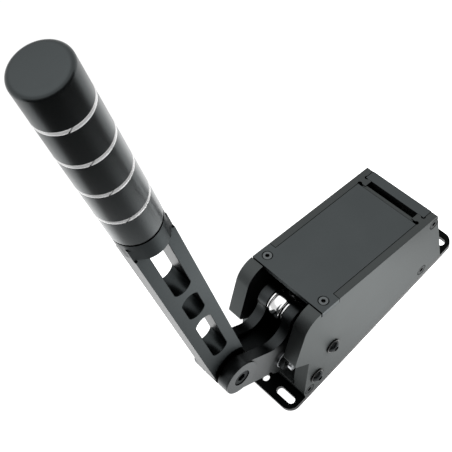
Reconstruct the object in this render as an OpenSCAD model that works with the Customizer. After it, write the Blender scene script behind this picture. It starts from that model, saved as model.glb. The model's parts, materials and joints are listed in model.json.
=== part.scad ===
// Sim racing handbrake: a wedge-shaped box on a slotted base plate, with a forked crank
// in its open nose, an upright lever clamped to the crank and a round ringed grip.
// Frame: +X is forward, towards the lever, +Y is the driver's near side, +Z is up.
// The origin is the middle of the slot pattern, on the underside of the base plate.
// A place in the side view is a pair, [x, z].

/* [Box] */
// Thickness of each side plate
plate_t = 12; // [10:0.5:14]
// Gap between the crank and each side plate
side_gap = 6.6; // [6:0.1:9]
// Height of the cover's front edge above the ground
nose_h = 101.6; // [98:0.2:106]
// Slope of the top, falling towards the rear, in degrees
top_angle = 14.5; // [13:0.5:16]
// Front edge of the cover
cover_front_x = 42; // [40:0.5:44]
// Rear face of the box
box_rear_x = -79.5; // [-86:0.5:-76]
// Radius of the side plates' nose
nose_r = 17.5; // [14:0.5:20]
// Steepness of the side plates' slanted front, in degrees
slant_angle = 58.4; // [56:0.2:61]
// Corner of the lobe at the lower end of the slanted front, before rounding
lobe_tip = [78.4, 66.2];
// Inner corner of the notch under the lobe
notch = [66.4, 51.3];
// Front of the side plates' foot
foot_x = 80; // [78:0.5:82]
// Height at which the foot's slanted edge ends
foot_z = 12; // [10:0.5:14]

/* [Base plate] */
// Length of the base plate
base_l = 195; // [190:1:210]
// Thickness of the base plate
base_t = 5; // [4:0.5:6]
// Corner radius of the base plate
base_r = 9; // [4:0.5:10]
// Distance between the front and rear slots
slot_pitch_x = 178; // [174:1:180]
// Distance between the left and right slots
slot_pitch_y = 44; // [40:1:46]
// Width of each mounting slot
slot_w = 6.4; // [5:0.2:7]
// End to end length of each mounting slot
slot_l = 18; // [12:0.5:20]
// Diameter of the two round holes on the centre line
centre_hole_d = 6.2; // [5:0.1:7]

/* [Covers] */
// Thickness of the top cover
cover_t = 4; // [3:0.5:5]
// Length of the cover's full-width front part, along the slope
cover_head_l = 17.6; // [16:0.2:20]
// Gap between the cover and the lip behind it
cover_gap = 0.5; // [0.2:0.1:1]
// Width of the ledge that carries the cover on each side plate
ledge_w = 6; // [5:0.5:8]
// Length of the rear cover's top flange, along the slope
flange_l = 9; // [8:0.5:10]
// Wall of the rear cover
rear_wall_t = 3; // [2.5:0.5:4]
// Width of the lip behind the cover, along the slope
lip_l = 3.1; // [2:0.1:3.4]
// Length of the open slot between the lip and the rear cover
rear_slot_l = 5.6; // [4.4:0.2:7]

/* [Crank] */
// Axis of the crank's pivot shaft
pivot = [42.5, 41.4];
// Place of the pin that holds the rod end, forward of the slot pattern's middle
rod_pin_x = 51; // [50:0.5:52]
// Depth of that pin below the cover's front edge
rod_pin_drop = 22.1; // [21.5:0.1:23]
// Axis of the bolt that clamps the lever
lever_axis = [110.6, 82];
// Axis of the lug that meets the end stop
lug_axis = [74.2, 45];
// Thickness of each crank cheek
cheek_t = 8.4; // [7.4:0.2:9]
// Clear gap between the two cheeks
fork_gap = 16; // [15.4:0.2:18]
// Radius of the crank's hub
hub_r = 12; // [11:0.5:12.5]
// Radius of the cheeks round the rod pin
rod_lug_r = 10; // [9:0.5:10.5]
// Radius of the cheeks round the lever bolt
boss_r = 14.4; // [13.4:0.1:14.8]
// Height of the round bosses above the cheeks' outer faces
boss_rise = 1.1; // [0.6:0.1:2]
// Radius of the thinned round end at the stop lug
lug_r = 14.5; // [12:0.5:14.5]
// Radius at which the cheeks step down to that end
lug_step_r = 17; // [16:0.5:18]
// Depth of that step
lug_step = 1; // [0.6:0.1:1.6]
// Half-width of the cheeks' arm where it meets the lug
neck_r = 10; // [8:0.5:11]
// Centre of the hollow in the cheeks' upper edge
scoop = [73.5, 85.5];
// Radius of the hollow in the cheeks' upper edge
scoop_r = 13.5; // [12.5:0.5:13.8]
// Thickness of the web between the cheeks
web_t = 8; // [6:0.5:9]

/* [Pivot and stop] */
// Diameter of the pivot shaft
shaft_d = 12; // [10:0.5:13]
// Diameter of the bearing seats in the crank
bearing_d = 18; // [16:0.5:19]
// Axis of the stop bar
stop_axis = [64.1, 21.9];
// Diameter of the steel stop bar
stop_bar_d = 10; // [9:0.5:11]
// Wall of the rubber sleeves on the stop bar
sleeve_t = 1.3; // [0.8:0.1:1.6]
// Size of the threads in the shaft and bar ends
end_thread_d = 6; // [5:0.5:6]
// Diameter of the button heads
button_d = 10.5; // [9:0.5:11]
// Diameter of the washers under the button heads
washer_d = 12.5; // [12:0.5:14]
// Thickness of the washers under the button heads
washer_t = 1.2; // [0.8:0.2:1.8]

/* [Lever] */
// Width of the lever bar, front to back
lever_w = 29; // [27:0.2:30]
// Thickness of the lever bar, side to side
lever_t = 17; // [15:0.5:18]
// Thickness of the tongue that enters the fork
tongue_t = 11; // [9:0.5:12]
// Width of the windows in the lever
window_w = 12.8; // [11:0.2:15]
// Rise of the windows' curved ends
window_rise = 4; // [3:0.5:6]
// Lower and upper ends of each window, as heights
windows = [[119.8, 174], [182.2, 208], [216.2, 273.2]];
// Top of the flat faces of the lever
bar_top_z = 288; // [284:1:290]
// Underside of the round collar
collar_z = 278; // [275:0.5:282]
// Diameter of the round collar
collar_d = 30.8; // [29:0.2:31]
// Top of the collar, where the grip starts
collar_top_z = 293.2; // [291:0.2:300]

/* [Grip] */
// Diameter of the grip
grip_d = 31.2; // [30:0.2:36]
// Rounding of the grip's upper edge
grip_edge_r = 3.5; // [2:0.5:6]
// Distance between rings, and from the last ring to either end
ring_pitch = 25.7; // [20:0.1:27]
// Number of rings
ring_count = 4; // [2:1:4]
// Width of a ring
ring_w = 2.4; // [1:0.2:3]
// Depth of the groove that holds a ring
ring_depth = 1.2; // [0.8:0.2:2]
// Thickness of the washer between the collar and the grip
grip_washer_t = 1.4; // [0.6:0.2:2]
// Diameter of the stud that joins the grip to the lever
stud_d = 12; // [8:1:14]
// Depth of the stud in the lever
stud_in_lever = 18; // [14:1:22]
// Depth of the stud in the grip
stud_in_grip = 34; // [20:1:60]

/* [Pull rod] */
// Diameter of the pull rod
rod_d = 8; // [6:0.5:8]
// Length of the rod behind its end nut
rod_tail = 8; // [2:0.5:12]
// Distance from the rod pin to the bulkhead
bulkhead_at = 36; // [34:0.5:38]
// Thickness of the bulkhead
bulkhead_t = 10; // [8:0.5:12]
// Diameter of the round load cell
cell_d = 32; // [28:1:34]
// Thickness of the load cell
cell_t = 11; // [8:0.5:12]
// Diameter of the elastomer pads
pad_d = 26; // [20:1:28]
// Thickness of each elastomer pad
pad_t = 11; // [8:0.5:12]
// Diameter of the rod end's head
rod_end_d = 20; // [17:0.5:21]
// Width of the rod end's head
rod_end_w = 10; // [8:0.5:10.5]

/* [Electronics] */
// Length of the circuit board
board_l = 54; // [46:1:58]
// Width of the circuit board
board_w = 38; // [30:1:42]
// Thickness of the circuit board
board_t = 1.6; // [1.2:0.2:2]
// Height of the underside of the circuit board
board_z = 23; // [21:0.5:25]
// Width, length and height of the cable socket
socket = [12, 14, 9];

/* [Hidden] */
$fn = 48;
// Gap between pieces that are fastened to each other
fit = 0.1;
// Running clearance of shafts in bearings
running = 0.04;
fork_in = fork_gap / 2;
fork_out = fork_in + cheek_t;
boss_out = fork_out + boss_rise;
inner_w = fork_out + side_gap;
half_w = inner_w + plate_t;
slope_dir = [cos(top_angle), sin(top_angle)];
top_front = [cover_front_x, nose_h];
rod_pin = [rod_pin_x, nose_h - rod_pin_drop];
rail_w = half_w - ledge_w;
cover_drop = cover_t / cos(top_angle);
ring_gap = 0.05;
screw_d = 5;
screw_head_d = 10;
// Depth that the side screws reach into the bars, and the base screws into the plates
side_screw_reach = 6;
base_screw_reach = 9;
cover_screw_d = 4;
cover_screw_head_d = 8.4;
cover_screw_s = 8.3;
cover_screw_reach = 7;
head_cone = 0.55;
button_h = 3.3;
rod_pin_d = 6;
lug_bolt_d = 8;
end_thread_l = 16;
ball_r = 6.6;
ball_w = rod_end_w + 0.4;
rod_end_l = 25;
// Room round the rod in the bulkhead and the load cell, for its tilt
rod_room = 2.4;
end_nut_t = 7;
lock_nut_t = 5;
rod_nut_flats = 13;
spool_r = 9.5;
spool_w = 1.3;
spool_y = fork_in - spool_w - 0.7;
shank_d = 2 * (spool_y - 0.25);
lever_bolt_d = 8;
lever_bolt_head_d = 13;
lever_bolt_head_t = 5;
stop_sleeve_l = 11;
front_bar = [12, 12];
rear_bar = [12, 14];
front_bar_screw = [74.1, 10.9];
rear_bar_screw = [-57.1, 12.6];
rear_top_screw = [-74.7, 64];
groove = 2;
locating_hole = [57.7, 17.7];
rest_bar_l = 9;
rest_bar_t = 7;
base_screw_x = [66, 8, -68];
window_r = (window_w * window_w / 4 + window_rise * window_rise) / (2 * window_rise);
clamp_disc_t = fork_in - tongue_t / 2 - 2 * fit;
cell_at = bulkhead_at + bulkhead_t;
pad_count = 3;
pad_washer_t = 1.5;
end_washer_t = 2.5;
pads_at = cell_at + cell_t + pad_washer_t;
pad_step = pad_t + pad_washer_t;
pads_l = pad_count * pad_step - pad_washer_t;
pillar_inset = 16;
// Places of the board's pillars: on the rear bar, and on the base plate
pillar_x = [rear_bar_screw[0], rear_bar_screw[0] + board_l - pillar_inset];
pillar_y = board_w / 2 - 4;
pillar_foot = [base_t + rear_bar[1], base_t];
board_screw_d = 2.5;
plug_inset = 18;
plug_x = rear_bar_screw[0] + board_l - plug_inset;
lead_d = 3;
lead_in_cell = 1;
lead_bend_r = 10;
// Bearings, seats and bosses of the crank
boss_inset = 0.2;
bearing_l = 7;
lever_nut_flats = 13;
// Screws that hold the load cell
cell_screw_r = 12.5;
cell_screw_angles = [45, 135, 225, 315];
// Where the rear cover's flange and the lip start, along the slope, and the cover's length
flange_s = (cover_front_x - box_rear_x) / cos(top_angle) - flange_l;
lip_s = flange_s - rear_slot_l - lip_l;
cover_l = lip_s - cover_gap;
// Length of the pull rod behind the rod pin
rod_l = pads_at + pads_l + end_washer_t + end_nut_t + rod_tail;
// The lug bolt's parts, each from the one inside it
lug_face = fork_out - lug_step;
lug_washer_t = 1.2;
lug_nut_t = 4.2;
lug_ring_t = 1.4;
lug_pin_d = 7;
lug_flats = 13;
lug_pin_l = 3.6;
lug_nut_y = lug_face + lug_washer_t;
lug_ring_y = lug_nut_y + lug_nut_t;
arch = [109.5, 91.5];
arch_r = 15.5;
grip_z = collar_top_z + grip_washer_t;
grip_top_z = collar_top_z + (ring_count + 1) * ring_pitch;

// Height of the sloping top above a point on the floor
function top_z(x) = nose_h + (x - cover_front_x) * tan(top_angle);

// A point on or under the sloping top: s runs back from the cover's front, d goes down
function top_pt(s, d) = top_front - s * slope_dir + d * [sin(top_angle), -cos(top_angle)];

// A point by the pull rod: s runs back from the rod pin, w goes up from the rod's axis
function rod_pt(s, w) = rod_pin - s * slope_dir + w * [-sin(top_angle), cos(top_angle)];

// The height above the rod's axis at which the line at s meets a level z
function rod_w(s, z) = (z - rod_pin[1] + s * sin(top_angle)) / cos(top_angle);

// Outer tangent line on the left of the way from circle a to circle b
function tangent_dir(a, ra, b, rb) =
    let (d = b - a, l = norm(d), t = asin((ra - rb) / l), q = atan2(d[1], d[0]) + 90 - t)
    [cos(q), sin(q)];

// The four corners of the band that joins two circles
function band(a, ra, b, rb) =
    let (n = tangent_dir(a, ra, b, rb), m = tangent_dir(b, rb, a, ra))
    [a + ra * n, b + rb * n, b + rb * m, a + ra * m];

// The points of an outline with its corners rounded; each corner is [x, z, radius]
function rounded(path, steps = 10) = [
    for (i = [0 : len(path) - 1])
        let (
            n = len(path),
            here = [path[i][0], path[i][1]],
            back = [path[(i + n - 1) % n][0], path[(i + n - 1) % n][1]] - here,
            on = [path[(i + 1) % n][0], path[(i + 1) % n][1]] - here,
            u = back / norm(back),
            v = on / norm(on),
            half = acos(u * v) / 2,
            r = path[i][2],
            c = here + (u + v) / norm(u + v) * r / sin(half),
            first = here + u * r / tan(half) - c,
            last = here + v * r / tan(half) - c,
            a0 = atan2(first[1], first[0]),
            turn = atan2(last[1], last[0]) - a0,
            sweep = turn > 180 ? turn - 360 : turn < -180 ? turn + 360 : turn
        )
        for (k = r > 0 ? [0 : steps] : [0 : 0])
            r > 0 ? c + r * [cos(a0 + sweep * k / steps), sin(a0 + sweep * k / steps)] : here
];

// A side-view outline made solid between two Y values
module across(y0, y1) {
    translate([0, y1, 0])
        rotate([90, 0, 0])
            linear_extrude(height = y1 - y0)
                children();
}

// A round bar along Y at a place in the side view
module cross_rod(p, r, y0, y1) {
    translate([p[0], y1, p[1]])
        rotate([90, 0, 0])
            cylinder(h = y1 - y0, r = r);
}

// A six-sided bar along Y, as wide over its flats as stated
module cross_hex(p, flats, y0, y1) {
    translate([p[0], y1, p[1]])
        rotate([90, 0, 0])
            cylinder(h = y1 - y0, d = flats / cos(30), $fn = 6);
}

// The children at both sides of the middle plane
module both_sides() {
    children();
    mirror([0, 1, 0])
        children();
}

// Places children on the sloping top: +X is back along the slope, +Z is out of it
module on_top() {
    translate([top_front[0], 0, top_front[1]])
        rotate([0, -top_angle, 0])
            mirror([1, 0, 0])
                children();
}

// Places children on the pull rod's axis: +Z runs back from the rod pin
module on_rod(s = 0) {
    translate([rod_pin[0], 0, rod_pin[1]])
        rotate([0, -top_angle - 90, 0])
            translate([0, 0, s])
                children();
}

// A ring round the pull rod, from s onwards
module rod_ring(s, t, od, id) {
    on_rod(s)
        difference() {
            cylinder(h = t, d = od);
            translate([0, 0, -1])
                cylinder(h = t + 2, d = id);
        }
}

// A countersunk screw with its head face at z = 0 and its shank below
module countersunk(d, head_d, l) {
    h = (head_d - d) * head_cone;
    difference() {
        union() {
            translate([0, 0, -h])
                cylinder(h = h, d1 = d, d2 = head_d);
            translate([0, 0, -l])
                cylinder(h = l - h + 0.5, d = d);
        }
        translate([0, 0, -d * 0.45])
            cylinder(h = d, d = d * 0.6 / cos(30), $fn = 6);
    }
}

// The hole that a countersunk screw needs
module countersunk_hole(d, head_d, l) {
    h = (head_d - d) * head_cone;
    translate([0, 0, -h - fit])
        cylinder(h = h + fit, d1 = d + 2 * fit, d2 = head_d + 2 * fit);
    cylinder(h = 1, d = head_d + 2 * fit);
    translate([0, 0, -l - 1])
        cylinder(h = l - h + 1.5, d = d + 2 * fit);
}

// Places children on the outer face of the right side plate, pointing out of it
module on_side(p) {
    translate([p[0], half_w, p[1]])
        rotate([-90, 0, 0])
            children();
}

// The outline of a side plate
module side_outline() {
    nose_x = (lobe_tip[1] + tan(slant_angle) * lobe_tip[0] - top_z(0))
        / (tan(slant_angle) + tan(top_angle));
    polygon(rounded([
        [box_rear_x, base_t, 0],
        [box_rear_x, top_z(box_rear_x), 1.5],
        [nose_x, top_z(nose_x), nose_r],
        [lobe_tip[0], lobe_tip[1], 4],
        [notch[0], notch[1], 1],
        [foot_x, foot_z, 3],
        [foot_x, base_t, 0]
    ]));
}

// The space that the top cover fills, grown by a gap
module cover_space(gap) {
    on_top() {
        translate([-gap - 1, -half_w - 1, -cover_t - gap])
            cube([cover_head_l + 1 + 2 * gap, 2 * half_w + 2, cover_t + gap + 2]);
        translate([0, -rail_w - gap, -cover_t - gap])
            cube([cover_l + gap + 2, 2 * (rail_w + gap), cover_t + gap + 2]);
    }
}

// The space that the rear cover's top flange fills, grown by a gap
module flange_space(gap) {
    on_top()
        translate([flange_s - gap, -rail_w - gap, -cover_t - gap])
            cube([flange_l + 4, 2 * (rail_w + gap), cover_t + gap + 2]);
}

module side_plate() {
    difference() {
        across(inner_w, half_w)
            side_outline();
        cover_space(fit);
        flange_space(fit);
        // Round reliefs left by the cutter in the ledge's corners
        on_top()
            for (s = [cover_l + 1.4, flange_s + 0.4])
                translate([s, rail_w - 1, -cover_t - fit])
                    cylinder(h = cover_t + 3, r = 1.8);
        // Clearance holes for the pivot shaft's and stop bar's bolts
        for (p = [pivot, stop_axis])
            cross_rod(p, end_thread_d / 2 + 0.25, inner_w - 1, half_w + 1);
        for (p = [front_bar_screw, rear_bar_screw, rear_top_screw])
            on_side(p)
                countersunk_hole(screw_d, screw_head_d, plate_t + 1);
        // Threaded holes for the cover's screws
        on_top()
            translate([cover_screw_s, half_w - plate_t / 2 - 1, -cover_t - 9])
                cylinder(h = 12, d = cover_screw_d + 2 * fit);
        // Threaded holes for the screws through the base plate
        for (x = base_screw_x)
            translate([x, half_w - plate_t / 2, base_t - 1])
                cylinder(h = base_screw_reach + 3, d = screw_d + 2 * fit);
        // Grooves that hold the bulkhead and the bar under the cover
        across(inner_w - 1, inner_w + groove + fit)
            polygon(bulkhead_outline(fit));
        across(inner_w - 1, inner_w + groove + fit)
            polygon(rest_bar_outline(fit));
        // Small locating hole beside the lower button bolt
        cross_rod(locating_hole, 1, half_w - 4, half_w + 1);
    }
}

module right_side_plate() {
    color("#2a2c2d")
        side_plate();
}

module left_side_plate() {
    color("#2a2c2d")
        mirror([0, 1, 0])
            side_plate();
}

module base_plate() {
    color("#1b1d1e")
        difference() {
            linear_extrude(height = base_t)
                polygon(rounded([
                    [-base_l / 2, -half_w, base_r],
                    [base_l / 2, -half_w, base_r],
                    [base_l / 2, half_w, base_r],
                    [-base_l / 2, half_w, base_r]
                ]));
            for (i = [-1, 1])
                translate([i * slot_pitch_x / 2, 0, -1])
                    cylinder(h = base_t + 2, d = centre_hole_d);
            for (i = [-1, 1], j = [-1, 1])
                translate([i * slot_pitch_x / 2, j * slot_pitch_y / 2, -1])
                    slot_cutter();
            for (x = base_screw_x, j = [-1, 1])
                translate([x, j * (half_w - plate_t / 2), 0])
                    rotate([180, 0, 0])
                        countersunk_hole(screw_d, screw_head_d, base_t + 1);
            for (y = [-1, 1])
                translate([pillar_x[1], y * pillar_y, 0])
                    rotate([180, 0, 0])
                        countersunk_hole(board_screw_d, 5, base_t + 1);
        }
}

module slot_cutter() {
    run = slot_l - slot_w;
    for (j = [-1, 1])
        translate([0, j * run / 2, 0])
            cylinder(h = base_t + 2, d = slot_w);
    translate([-slot_w / 2, -run / 2, 0])
        cube([slot_w, run, base_t + 2]);
}

module top_cover() {
    color("#303435")
        difference() {
            on_top()
                union() {
                    translate([0, -half_w, -cover_t])
                        cube([cover_head_l, 2 * half_w, cover_t]);
                    translate([0, -rail_w, -cover_t])
                        cube([cover_l, 2 * rail_w, cover_t]);
                }
            both_sides()
                on_top()
                    translate([cover_screw_s, half_w - plate_t / 2 - 1, 0])
                        countersunk_hole(cover_screw_d, cover_screw_head_d, cover_t + 2);
        }
}

// The bar under the cover's rear edge, with the lip that shows behind it
function rest_bar_outline(gap) = [
    top_pt(lip_s - rest_bar_l - gap, cover_t + 2 * fit - gap),
    top_pt(lip_s - gap, cover_t + 2 * fit - gap),
    top_pt(lip_s - gap, 0.6),
    top_pt(lip_s + lip_l + gap, 0.6),
    top_pt(lip_s + lip_l + gap, cover_t + rest_bar_t + gap),
    top_pt(lip_s - rest_bar_l - gap, cover_t + rest_bar_t + gap)
];

module cover_rest_bar() {
    color("#24272a")
        across(-inner_w - groove, inner_w + groove)
            polygon(rest_bar_outline(0));
}

// The outline of the bulkhead, square to the pull rod
function bulkhead_outline(gap) = [
    rod_pt(bulkhead_at - gap, rod_w(bulkhead_at - gap, base_t)),
    rod_pt(bulkhead_at - gap, bulkhead_top),
    rod_pt(bulkhead_at + bulkhead_t + gap, bulkhead_top),
    rod_pt(bulkhead_at + bulkhead_t + gap, rod_w(bulkhead_at + bulkhead_t + gap, base_t))
];

// Height of the cover's underside above the rod's axis
bulkhead_top = (top_front - rod_pin) * [-sin(top_angle), cos(top_angle)] - cover_t - 0.2;

module bulkhead() {
    color("#1e2021")
        difference() {
            across(-inner_w - groove, inner_w + groove)
                polygon(bulkhead_outline(0));
            on_rod(bulkhead_at - 1)
                cylinder(h = bulkhead_t + 2, d = rod_d + rod_room);
            for (q = cell_screw_angles)
                on_rod(bulkhead_at + bulkhead_t - 7)
                    rotate([0, 0, q])
                        translate([cell_screw_r, 0, 0])
                            cylinder(h = 8, d = 3 + 2 * fit);
        }
}

module front_cross_bar() {
    color("#1e2021")
        difference() {
            translate([foot_x - front_bar[0], -inner_w, base_t])
                cube([front_bar[0], 2 * inner_w, front_bar[1]]);
            both_sides()
                cross_rod(front_bar_screw, screw_d / 2 + fit, inner_w - side_screw_reach - 1, inner_w + 1);
        }
}

module rear_cross_bar() {
    color("#1e2021")
        difference() {
            translate([rear_bar_screw[0] - rear_bar[0] / 2, -inner_w, base_t])
                cube([rear_bar[0], 2 * inner_w, rear_bar[1]]);
            both_sides()
                cross_rod(rear_bar_screw, screw_d / 2 + fit, inner_w - side_screw_reach - 1, inner_w + 1);
            for (y = [-1, 1])
                translate([pillar_x[0], y * pillar_y, base_t + rear_bar[1] - 8])
                    cylinder(h = 9, d = board_screw_d + 2 * fit);
        }
}

// Rear cover: a wall with a thick head between the side plates, and a flange on the ledges
module rear_cover() {
    head_x = top_pt(flange_s, 0)[0];
    color("#26292a")
        difference() {
            union() {
                across(-inner_w + fit, inner_w - fit)
                    polygon([
                        [box_rear_x, base_t],
                        [box_rear_x + rear_wall_t, base_t],
                        [box_rear_x + rear_wall_t, rear_top_screw[1] - 7],
                        [head_x, rear_top_screw[1] - 5],
                        [head_x, top_z(head_x)],
                        [box_rear_x, top_z(box_rear_x)]
                    ]);
                intersection() {
                    on_top()
                        translate([flange_s, -rail_w, -cover_t])
                            cube([flange_l + 4, 2 * rail_w, cover_t]);
                    translate([box_rear_x, -half_w, 0])
                        cube([2 * base_l, 2 * half_w, 2 * nose_h]);
                }
            }
            both_sides()
                cross_rod(rear_top_screw, screw_d / 2 + fit, inner_w - side_screw_reach - 1, inner_w + 1);
            // Opening for the cable socket
            translate([box_rear_x - 1, -socket[0] / 2 - 0.4, board_z + board_t - 0.4])
                cube([rear_wall_t + 2, socket[0] + 0.8, socket[2] + 0.8]);
        }
}

// The side outline of a crank cheek
module cheek_outline() {
    inner_q = asin((scoop_r + boss_r) / norm(lever_axis - scoop))
        + atan2(lever_axis[1] - scoop[1], lever_axis[0] - scoop[0]);
    boss_touch = lever_axis + boss_r * [-sin(inner_q), cos(inner_q)];
    scoop_touch = scoop + scoop_r * [sin(inner_q), -cos(inner_q)];
    lug_touch = rod_pin + rod_lug_r * (scoop - rod_pin) / norm(scoop - rod_pin);
    for (c = [[pivot, hub_r], [rod_pin, rod_lug_r], [lever_axis, boss_r], [lug_axis, lug_r]])
        translate(c[0])
            circle(r = c[1]);
    polygon(band(pivot, hub_r, rod_pin, rod_lug_r));
    polygon(band(pivot, hub_r, lug_axis, neck_r));
    polygon(band(lug_axis, neck_r, lever_axis, boss_r));
    difference() {
        polygon([pivot, rod_pin, lug_touch, scoop, scoop_touch, boss_touch, lever_axis, lug_axis]);
        translate(scoop)
            circle(r = scoop_r);
    }
}

module crank() {
    color("#2b2e30")
        difference() {
            union() {
                both_sides()
                    across(fork_in, fork_out)
                        cheek_outline();
                // Round bosses for the lever bolt
                both_sides()
                    cross_rod(lever_axis, boss_r - boss_inset, fork_out, boss_out);
                // Hub tube between the cheeks
                cross_rod(pivot, hub_r, -fork_in - 1, fork_in + 1);
                // Web that ties the cheeks together behind the lever
                across(-fork_in - 1, fork_in + 1)
                    polygon(web_outline());
            }
            // Bore, with wider seats for the bearings at both ends
            cross_rod(pivot, shaft_d / 2 + 1, -fork_out - 1, fork_out + 1);
            both_sides()
                cross_rod(pivot, bearing_d / 2, fork_out - bearing_l, fork_out + 1);
            cross_rod(rod_pin, rod_pin_d / 2 + fit, -fork_out - 1, fork_out + 1);
            cross_rod(lug_axis, lug_bolt_d / 2 + fit, -fork_out - 1, fork_out + 1);
            cross_rod(lever_axis, lever_bolt_d / 2 + fit, -boss_out - 1, boss_out + 1);
            // Seats for the lever bolt's head and nut
            cross_rod(lever_axis, lever_bolt_head_d / 2 + 0.3, boss_out - lever_bolt_head_t, boss_out + 1);
            cross_hex(lever_axis, lever_nut_flats + 0.4, -boss_out - 1, -boss_out + lever_bolt_head_t);
            // Steps down to the thinned ends at the lug bolt
            both_sides()
                cross_rod(lug_axis, lug_step_r, lug_face, fork_out + 1);
        }
}

// The web's band, square to the line from the hub to the lever's boss
function web_outline() = let (
    d = (lever_axis - pivot) / norm(lever_axis - pivot),
    n = [-d[1], d[0]],
    a = pivot + d * (hub_r - 2),
    b = lever_axis - d * (lever_w / 2 + 2)
) [a + n * web_t / 2, b + n * web_t / 2, b - n * web_t / 2, a - n * web_t / 2];

module pivot_shaft() {
    color("#b9bcbf")
        difference() {
            cross_rod(pivot, shaft_d / 2, -inner_w, inner_w);
            both_sides()
                cross_rod(pivot, end_thread_d / 2 + fit, inner_w - end_thread_l, inner_w + 1);
        }
}

module pivot_bearings() {
    color("#c9a24a")
        both_sides()
            difference() {
                union() {
                    cross_rod(pivot, bearing_d / 2 - fit / 2, fork_out - bearing_l + fit, fork_out);
                    cross_rod(pivot, hub_r - 0.5, fork_out, fork_out + 1.5);
                }
                cross_rod(pivot, shaft_d / 2 + running, fork_in - 2, fork_out + 3);
            }
}

module pivot_spacers() {
    color("#8f9396")
        both_sides()
            difference() {
                cross_rod(pivot, shaft_d / 2 + 2.5, fork_out + 1.5 + 0.3, inner_w);
                cross_rod(pivot, shaft_d / 2 + running, fork_out, inner_w + 1);
            }
}

module stop_bar() {
    color("#8f9396")
        difference() {
            cross_rod(stop_axis, stop_bar_d / 2, -inner_w, inner_w);
            both_sides()
                cross_rod(stop_axis, end_thread_d / 2 + fit, inner_w - end_thread_l, inner_w + 1);
        }
}

module stop_sleeves() {
    color("#151617")
        both_sides()
            difference() {
                cross_rod(stop_axis, stop_bar_d / 2 + sleeve_t, fork_in - 1, fork_in - 1 + stop_sleeve_l);
                cross_rod(stop_axis, stop_bar_d / 2, fork_in - 2, fork_in + stop_sleeve_l);
            }
}

module button_bolts() {
    color("#2e3133")
        both_sides()
            for (p = [pivot, stop_axis])
                translate([p[0], half_w + washer_t, p[1]])
                    rotate([-90, 0, 0])
                        button_bolt();
}

// A button-head bolt with its seat at z = 0, head above and shank below
module button_bolt() {
    sphere_r = (button_d * button_d / 4 + button_h * button_h) / (2 * button_h);
    difference() {
        union() {
            intersection() {
                translate([0, 0, button_h - sphere_r])
                    sphere(r = sphere_r);
                cylinder(h = button_h, d = button_d);
            }
            translate([0, 0, -plate_t - washer_t - 12])
                cylinder(h = plate_t + washer_t + 12.5, d = end_thread_d);
        }
        translate([0, 0, button_h - 2])
            cylinder(h = 3, d = 4 / cos(30), $fn = 6);
    }
}

module bolt_washers() {
    color("#101112")
        both_sides()
            for (p = [pivot, stop_axis])
                difference() {
                    cross_rod(p, washer_d / 2, half_w, half_w + washer_t);
                    cross_rod(p, end_thread_d / 2 + 0.2, half_w - 1, half_w + washer_t + 1);
                }
}

module lug_bolt() {
    color("#9a9da0")
        union() {
            cross_rod(lug_axis, lug_bolt_d / 2, -lug_nut_y, lug_ring_y);
            cross_rod(lug_axis, lug_pin_d / 2, lug_ring_y, lug_ring_y + lug_ring_t + lug_pin_l);
            cross_hex(lug_axis, lug_flats, -lug_ring_y, -lug_nut_y);
        }
}

module lug_nut() {
    color("#3a3a36")
        difference() {
            union() {
                cross_hex(lug_axis, lug_flats, lug_nut_y, lug_ring_y);
                cross_rod(lug_axis, lug_pin_d / 2 + 1.1, lug_ring_y, lug_ring_y + lug_ring_t);
            }
            cross_rod(lug_axis, lug_bolt_d / 2, lug_nut_y - 1, lug_ring_y);
            cross_rod(lug_axis, lug_pin_d / 2, lug_ring_y - 1, lug_ring_y + lug_ring_t + 1);
        }
}

module lug_washers() {
    color("#c8cbcd")
        both_sides()
            difference() {
                cross_rod(lug_axis, lug_bolt_d, lug_face, lug_nut_y);
                cross_rod(lug_axis, lug_bolt_d / 2, lug_face - 1, lug_nut_y + 1);
            }
}

module rod_end_bolt() {
    color("#2e3133")
        cross_rod(rod_pin, rod_pin_d / 2, -fork_out, fork_out);
}

// A round body about the rod pin, from an outline of [radius, y] points
module pin_turned(outline) {
    translate([rod_pin[0], 0, rod_pin[1]])
        rotate([90, 0, 0])
            rotate_extrude()
                polygon(outline);
}

// The outline of a ball of radius r cut off at +h and -h, closed off at another radius
function barrel(r, h, other_r) = let (q = asin(h / r)) concat(
    [[other_r, -h]],
    [for (k = [-6 : 6]) [r * cos(q * k / 6), r * sin(q * k / 6)]],
    [[other_r, h]]
);

module rod_end_ball() {
    color("#e2e4e6")
        pin_turned(barrel(ball_r, ball_w / 2, rod_pin_d / 2));
}

// Spools that centre the ball between the cheeks
module rod_end_spools() {
    y0 = ball_w / 2;
    color("#d9dbdd")
        both_sides()
            difference() {
                union() {
                    cross_rod(rod_pin, rod_pin_d / 2 + 1, y0, fork_in);
                    cross_rod(rod_pin, spool_r, spool_y, spool_y + spool_w);
                }
                cross_rod(rod_pin, rod_pin_d / 2, y0 - 1, fork_in + 1);
            }
}

module rod_end() {
    color("#e2e4e6")
        difference() {
            union() {
                pin_turned(barrel(ball_r + running, rod_end_w / 2, rod_end_d / 2));
                on_rod(ball_r + 0.3)
                    cylinder(h = rod_end_l - ball_r - 0.3, d = shank_d);
            }
            on_rod(13)
                cylinder(h = rod_end_l, d = rod_d);
        }
}

module pull_rod() {
    color("#a9acaf")
        on_rod(13)
            cylinder(h = rod_l - 13, d = rod_d);
}

module rod_lock_nut() {
    color("#8f9396")
        on_rod(rod_end_l)
            difference() {
                cylinder(h = lock_nut_t, d = rod_nut_flats / cos(30), $fn = 6);
                translate([0, 0, -1])
                    cylinder(h = lock_nut_t + 2, d = rod_d);
            }
}

// Collar on the rod that rests against the bulkhead when the lever is let go
module rod_collar() {
    color("#8f9396")
        rod_ring(rod_end_l + lock_nut_t, bulkhead_at - rod_end_l - lock_nut_t, 2 * rod_d, rod_d);
}

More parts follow.
